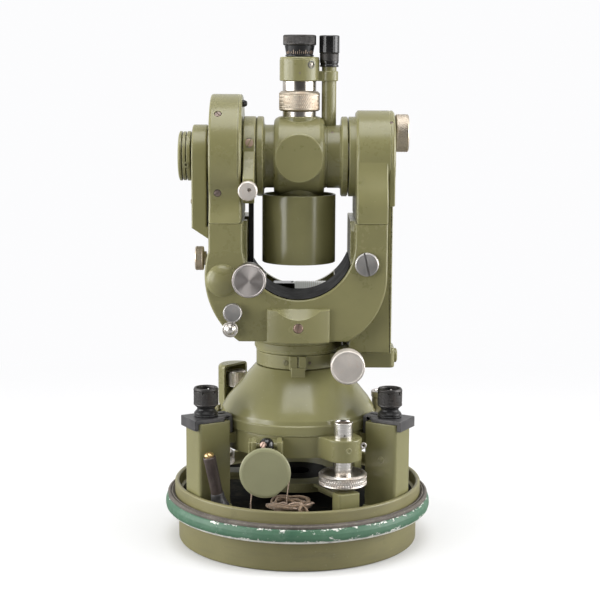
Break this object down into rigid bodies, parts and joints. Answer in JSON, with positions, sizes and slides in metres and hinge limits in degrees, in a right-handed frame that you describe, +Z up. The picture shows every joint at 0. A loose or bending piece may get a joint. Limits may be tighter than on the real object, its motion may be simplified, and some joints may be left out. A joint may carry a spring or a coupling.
{
  "type": "theodolite",
  "caption": "Optical-reading theodolite with upright telescope between yoke standards, clamped on the round steel base of its transport case.",
  "frame": {"origin": "centre of the case base where it rests on the ground", "axes": "+Z up along the vertical axis; the operator's face of the yoke looks along -Y; the vertical circle drum is on -X, along the tilting axis"},
  "size_m": [0.1786, 0.1786, 0.335],
  "materials": {
    "band_gasket": "aged brown-grey rubber",
    "black_plastic": "black",
    "black_steel": "black oxide and black enamel",
    "bronze": "turned bronze",
    "cord": "twisted hemp cord",
    "glass": "clear optical glass",
    "nickel": "satin nickel plate",
    "paint": "semi-gloss olive-green enamel",
    "steel": "ground steel"
  },
  "bodies": {
    "case_base": {"base_pan": "paint", "rim_gasket": "band_gasket", "pan_supports": "paint", "trivet_plate": "black_steel", "tribrach": "paint", "foot_screw_caps": "nickel", "lower_housing": "paint", "axis_bush": "steel", "circle_knob_cover": "paint", "circular_level": "nickel", "plumb_bob": "black_steel", "plumb_cord": "cord"},
    "circle_mirror": {"circle_mirror": "paint"},
    "horizontal_circle": {"horizontal_circle": "glass"},
    "circle_setting_knob": {"circle_setting_knob": "nickel"},
    "foot_screw_front": {"foot_screw_front": "nickel"},
    "foot_screw_rear": {"foot_screw_rear": "nickel"},
    "foot_screw_left": {"foot_screw_left": "nickel"},
    "clamp_hook_left": {"clamp_hook_left": "black_steel"},
    "clamp_hook_right": {"clamp_hook_right": "black_steel"},
    "clamp_hook_rear": {"clamp_hook_rear": "black_steel"},
    "clamp_knob_left": {"clamp_knob_left": "black_steel"},
    "clamp_knob_right": {"clamp_knob_right": "black_steel"},
    "clamp_knob_rear": {"clamp_knob_rear": "black_steel"},
    "azimuth_collar": {"azimuth_collar": "paint"},
    "azimuth_clamp_knob": {"azimuth_clamp_knob": "nickel"},
    "alidade": {"yoke": "paint", "vertical_spindle": "steel", "circle_drum": "paint", "cover_plate": "paint", "micrometer_drum": "paint", "rear_box": "paint", "lower_bracket": "paint", "trunnion_bearings": "bronze", "plate_level": "glass", "case_screws": "black_steel"},
    "inverter_knob": {"inverter_knob": "nickel"},
    "vertical_drive_spindle": {"vertical_drive_spindle": "steel"},
    "vertical_drive_knob": {"vertical_drive_knob": "nickel"},
    "horizontal_drive_spindle": {"horizontal_drive_spindle": "steel"},
    "horizontal_drive_knob": {"horizontal_drive_knob": "nickel"},
    "micrometer_knob": {"micrometer_knob": "nickel"},
    "index_level_knob": {"index_level_knob": "nickel"},
    "lamp_knob": {"lamp_knob": "nickel"},
    "reflector_button": {"reflector_button": "nickel"},
    "illumination_mirror": {"illumination_mirror": "paint"},
    "tilt_clamp_arm": {"tilt_clamp_arm": "paint"},
    "tilt_clamp_knob": {"tilt_clamp_knob": "nickel"},
    "telescope": {"telescope_body": "paint", "trunnion_axle": "steel", "vertical_circle": "glass", "objective_tube": "paint", "fixed_lenses": "glass", "telescope_neck": "nickel", "eyepiece_collar": "paint", "microscope_tube": "paint"},
    "focusing_lens": {"focusing_lens": "glass"},
    "focusing_sleeve": {"focusing_sleeve": "nickel"},
    "dioptre_ring": {"dioptre_ring": "black_plastic"},
    "microscope_eyepiece": {"microscope_eyepiece": "black_plastic"}
  },
  "joints": [
    {"name": "circle_mirror_tilt", "type": "hinge", "parent": "case_base", "child": "circle_mirror", "pos_m": [-0.0196, -0.061, 0.077], "axis": [1, 0, 0], "range_deg": [-75, 8]},
    {"name": "horizontal_circle_turn", "type": "hinge", "parent": "case_base", "child": "horizontal_circle", "pos_m": [0, 0, 0.082], "axis": [0, 0, 1], "continuous": true},
    {"name": "circle_setting_turn", "type": "hinge", "parent": "case_base", "child": "circle_setting_knob", "pos_m": [-0.04334, 0.03386, 0.1], "axis": [0, 0, 1], "continuous": true},
    {"name": "foot_screw_front_turn", "type": "hinge", "parent": "case_base", "child": "foot_screw_front", "pos_m": [0.0292, -0.05058, 0.05], "axis": [0, 0, 1], "range_deg": [-1080, 1080]},
    {"name": "foot_screw_rear_turn", "type": "hinge", "parent": "case_base", "child": "foot_screw_rear", "pos_m": [0.0292, 0.05058, 0.05], "axis": [0, 0, 1], "range_deg": [-1080, 1080]},
    {"name": "foot_screw_left_turn", "type": "hinge", "parent": "case_base", "child": "foot_screw_left", "pos_m": [-0.0584, 0, 0.05], "axis": [0, 0, 1], "range_deg": [-1080, 1080]},
    {"name": "clamp_hook_left_lift", "type": "slide", "parent": "case_base", "child": "clamp_hook_left", "axis": [0, 0, 1], "range_m": [0, 0.004]},
    {"name": "clamp_knob_left_turn", "type": "hinge", "parent": "clamp_hook_left", "child": "clamp_knob_left", "pos_m": [-0.05976, -0.0345, 0.095], "axis": [0, 0, 1], "range_deg": [0, 1440]},
    {"name": "clamp_hook_right_lift", "type": "slide", "parent": "case_base", "child": "clamp_hook_right", "axis": [0, 0, 1], "range_m": [0, 0.004]},
    {"name": "clamp_knob_right_turn", "type": "hinge", "parent": "clamp_hook_right", "child": "clamp_knob_right", "pos_m": [0.05976, -0.0345, 0.095], "axis": [0, 0, 1], "range_deg": [0, 1440]},
    {"name": "clamp_hook_rear_lift", "type": "slide", "parent": "case_base", "child": "clamp_hook_rear", "axis": [0, 0, 1], "range_m": [0, 0.004]},
    {"name": "clamp_knob_rear_turn", "type": "hinge", "parent": "clamp_hook_rear", "child": "clamp_knob_rear", "pos_m": [0, 0.069, 0.095], "axis": [0, 0, 1], "range_deg": [0, 1440]},
    {"name": "azimuth_turn", "type": "hinge", "parent": "case_base", "child": "azimuth_collar", "pos_m": [0, 0, 0.1235], "axis": [0, 0, 1], "continuous": true},
    {"name": "azimuth_fine", "type": "hinge", "parent": "azimuth_collar", "child": "alidade", "pos_m": [0, 0, 0.1235], "axis": [0, 0, 1], "range_deg": [-2, 2]},
    {"name": "azimuth_clamp_turn", "type": "hinge", "parent": "azimuth_collar", "child": "azimuth_clamp_knob", "pos_m": [-0.00625, 0.03545, 0.1235], "axis": [-0.1736, 0.9848, 0], "range_deg": [0, 270]},
    {"name": "horizontal_drive_slide", "type": "slide", "parent": "alidade", "child": "horizontal_drive_spindle", "axis": [0, 1, 0], "range_m": [-0.0012, 0.0012]},
    {"name": "horizontal_drive_turn", "type": "hinge", "parent": "horizontal_drive_spindle", "child": "horizontal_drive_knob", "pos_m": [0.0314, -0.06, 0.1274], "axis": [0, 1, 0], "range_deg": [-1800, 1800]},
    {"name": "vertical_drive_slide", "type": "slide", "parent": "alidade", "child": "vertical_drive_spindle", "axis": [0, 1, 0], "range_m": [-0.0028, 0.0028]},
    {"name": "vertical_drive_turn", "type": "hinge", "parent": "vertical_drive_spindle", "child": "vertical_drive_knob", "pos_m": [-0.031, -0.056, 0.1816], "axis": [0, 1, 0], "range_deg": [-1800, 1800]},
    {"name": "tilt_fine", "type": "hinge", "parent": "alidade", "child": "tilt_clamp_arm", "pos_m": [-0.032, 0, 0.2565], "axis": [1, 0, 0], "range_deg": [-2, 2]},
    {"name": "telescope_transit", "type": "hinge", "parent": "tilt_clamp_arm", "child": "telescope", "pos_m": [0, 0, 0.2565], "axis": [1, 0, 0], "continuous": true},
    {"name": "tilt_clamp_turn", "type": "hinge", "parent": "tilt_clamp_arm", "child": "tilt_clamp_knob", "pos_m": [-0.0321, -0.045, 0.2372], "axis": [0, 1, 0], "range_deg": [0, 270]},
    {"name": "focus_turn", "type": "hinge", "parent": "telescope", "child": "focusing_sleeve", "pos_m": [0, 0, 0.2925], "axis": [0, 0, 1], "range_deg": [-180, 180]},
    {"name": "focus_slide", "type": "slide", "parent": "telescope", "child": "focusing_lens", "axis": [0, 0, 1], "range_m": [-0.005, 0.005]},
    {"name": "dioptre_turn", "type": "hinge", "parent": "telescope", "child": "dioptre_ring", "pos_m": [0, 0, 0.33], "axis": [0, 0, 1], "range_deg": [-150, 150]},
    {"name": "microscope_focus_turn", "type": "hinge", "parent": "telescope", "child": "microscope_eyepiece", "pos_m": [0.0193, 0, 0.324], "axis": [0, 0, 1], "range_deg": [-180, 180]},
    {"name": "inverter_turn", "type": "hinge", "parent": "alidade", "child": "inverter_knob", "pos_m": [0.0435, -0.041, 0.1903], "axis": [0, 1, 0], "range_deg": [0, 90]},
    {"name": "micrometer_turn", "type": "hinge", "parent": "alidade", "child": "micrometer_knob", "pos_m": [0.066, 0, 0.272], "axis": [1, 0, 0], "range_deg": [-720, 720]},
    {"name": "index_level_turn", "type": "hinge", "parent": "alidade", "child": "index_level_knob", "pos_m": [-0.065, 0, 0.1888], "axis": [1, 0, 0], "range_deg": [-720, 720]},
    {"name": "lamp_knob_turn", "type": "hinge", "parent": "alidade", "child": "lamp_knob", "pos_m": [-0.0419, -0.042, 0.159], "axis": [0, 1, 0], "range_deg": [-180, 180]},
    {"name": "reflector_button_press", "type": "slide", "parent": "alidade", "child": "reflector_button", "axis": [0, 1, 0], "range_m": [0, 0.002]},
    {"name": "illumination_mirror_open", "type": "hinge", "parent": "alidade", "child": "illumination_mirror", "pos_m": [-0.0722, 0.0186, 0.2565], "axis": [0, 0, -1], "range_deg": [0, 70]}
  ],
  "couplings": [
    {"joint": "circle_setting_turn", "follows": "horizontal_circle_turn", "ratio": -9.0826},
    {"joint": "clamp_knob_left_turn", "follows": "clamp_hook_left_lift", "rad_per_m": 6283.2},
    {"joint": "clamp_knob_right_turn", "follows": "clamp_hook_right_lift", "rad_per_m": 6283.2},
    {"joint": "clamp_knob_rear_turn", "follows": "clamp_hook_rear_lift", "rad_per_m": 6283.2},
    {"joint": "horizontal_drive_turn", "follows": "azimuth_fine", "ratio": -899.99},
    {"joint": "horizontal_drive_slide", "follows": "azimuth_fine", "m_per_rad": -0.0314},
    {"joint": "vertical_drive_turn", "follows": "tilt_fine", "ratio": 899.99},
    {"joint": "vertical_drive_slide", "follows": "tilt_fine", "m_per_rad": 0.0749},
    {"joint": "focus_slide", "follows": "focus_turn", "m_per_rad": 0.0015914}
  ]
}
